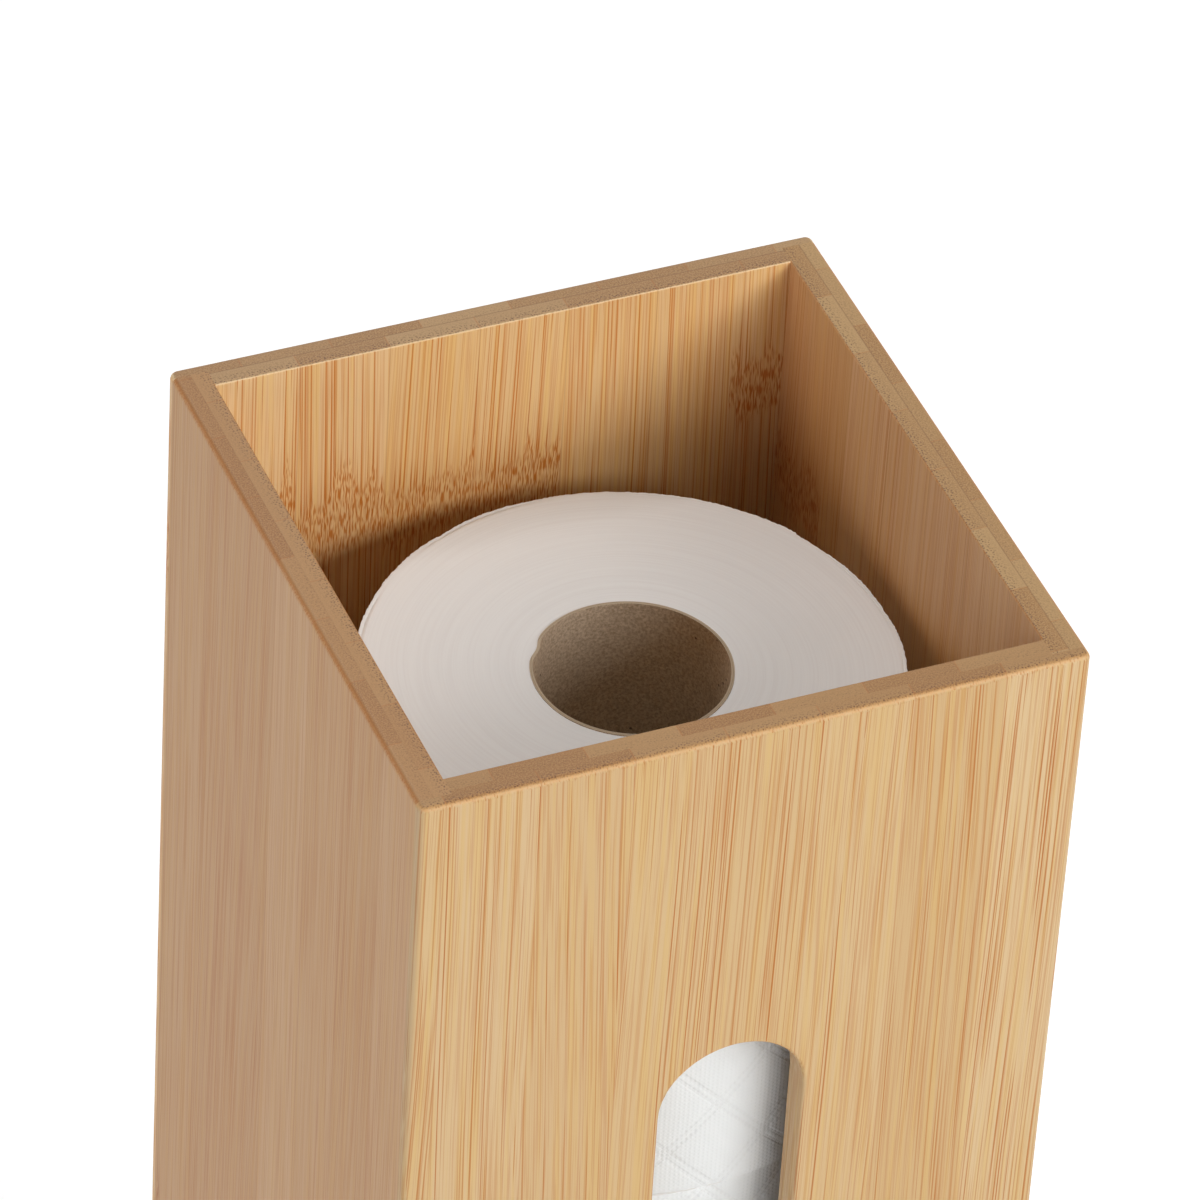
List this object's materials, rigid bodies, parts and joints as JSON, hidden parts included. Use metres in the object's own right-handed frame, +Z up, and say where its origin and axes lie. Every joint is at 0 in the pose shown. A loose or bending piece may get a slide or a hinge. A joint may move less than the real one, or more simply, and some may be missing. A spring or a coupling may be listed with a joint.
{
  "type": "toilet paper stand",
  "caption": "Free-standing tall square bamboo box, open at the top, with a round-ended finger slot in its front, which stores a stack of toilet rolls on end.",
  "frame": {"origin": "on the floor, under the middle of the box", "axes": "+Z up, +X to the right as the front is faced, +Y to the back; the finger slot is in the -Y wall"},
  "size_m": [0.15, 0.15, 0.4552],
  "materials": {
    "bamboo": "satin",
    "foot_rubber": "matte",
    "cardboard": "matte",
    "tissue": "matte"
  },
  "bodies": {
    "stand": {"front_panel": "bamboo", "back_panel": "bamboo", "left_panel": "bamboo", "right_panel": "bamboo", "base_panel": "bamboo", "foot_front_left": "foot_rubber", "foot_front_right": "foot_rubber", "foot_back_left": "foot_rubber", "foot_back_right": "foot_rubber"},
    "roll_1": {"roll_1_core": "cardboard", "roll_1_paper": "tissue"},
    "roll_2": {"roll_2_core": "cardboard", "roll_2_paper": "tissue"},
    "roll_3": {"roll_3_core": "cardboard", "roll_3_paper": "tissue"},
    "roll_4": {"roll_4_core": "cardboard", "roll_4_paper": "tissue"}
  },
  "joints": [
    {"name": "roll_4_lift", "type": "slide", "parent": "stand", "child": "roll_4", "axis": [0, 0, 1], "range_m": [0, 0.46]},
    {"name": "roll_3_lift", "type": "slide", "parent": "roll_4", "child": "roll_3", "axis": [0, 0, 1], "range_m": [0, 0.36]},
    {"name": "roll_2_lift", "type": "slide", "parent": "roll_3", "child": "roll_2", "axis": [0, 0, 1], "range_m": [0, 0.26]},
    {"name": "roll_1_lift", "type": "slide", "parent": "roll_2", "child": "roll_1", "axis": [0, 0, 1], "range_m": [0, 0.16]}
  ]
}
